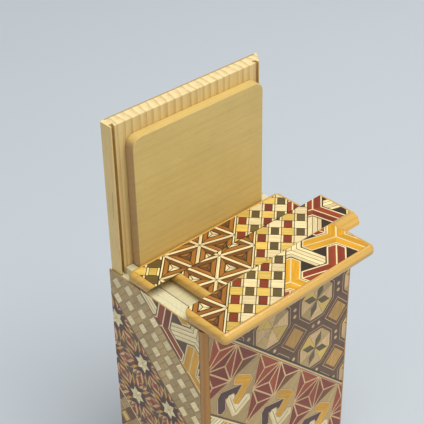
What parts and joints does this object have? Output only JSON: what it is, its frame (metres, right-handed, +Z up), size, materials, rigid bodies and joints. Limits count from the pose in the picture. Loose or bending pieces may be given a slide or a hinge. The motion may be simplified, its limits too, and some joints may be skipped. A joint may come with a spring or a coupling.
{
  "type": "wooden puzzle box",
  "caption": "Small wooden secret box with geometric marquetry, standing on end with its key strip, end panel and lid slid open.",
  "frame": {"origin": "middle of the face that the box stands on, under the closed body", "axes": "+Z up along the box's length, the way the lid slides open; +Y towards the lid; +X the way the key strip pulls out"},
  "size_m": [0.0975, 0.0686, 0.1837],
  "materials": {
    "edge_wood": "satin lacquered, honey-coloured",
    "pale_wood": "planed, unfinished",
    "liner_wood": "planed, unfinished, greenish tan",
    "lid_wood": "planed, pale",
    "inner_board_wood": "planed, fine straight grain",
    "end_marquetry": "satin lacquered geometric marquetry",
    "side_marquetry": "satin lacquered geometric marquetry"
  },
  "bodies": {
    "case": {"bottom_panel": "edge_wood", "bottom_marquetry": "end_marquetry", "front_board": "edge_wood", "front_marquetry": "side_marquetry", "left_marquetry": "side_marquetry", "right_marquetry": "side_marquetry", "left_side_board": "pale_wood", "left_liner": "liner_wood", "right_side_board": "pale_wood", "right_liner": "liner_wood", "top_end_wall": "pale_wood", "bottom_end_wall": "pale_wood"},
    "lid": {"lid_board": "lid_wood", "lid_marquetry": "side_marquetry", "lid_inner_board": "inner_board_wood"},
    "end_panel": {"end_panel_front": "edge_wood", "end_marquetry_front": "end_marquetry", "end_panel_back": "edge_wood", "end_marquetry_back": "end_marquetry", "end_panel_sole": "pale_wood"},
    "key_strip": {"key_strip": "edge_wood", "key_strip_marquetry": "end_marquetry"}
  },
  "joints": [
    {"name": "lid_slide", "type": "slide", "parent": "case", "child": "lid", "axis": [0, 0, 1], "range_m": [-0.068, 0.025]},
    {"name": "end_panel_slide", "type": "slide", "parent": "case", "child": "end_panel", "axis": [0, -1, 0], "range_m": [0, 0.0015]},
    {"name": "key_strip_slide", "type": "slide", "parent": "end_panel", "child": "key_strip", "axis": [1, 0, 0], "range_m": [-0.0125, 0]}
  ]
}
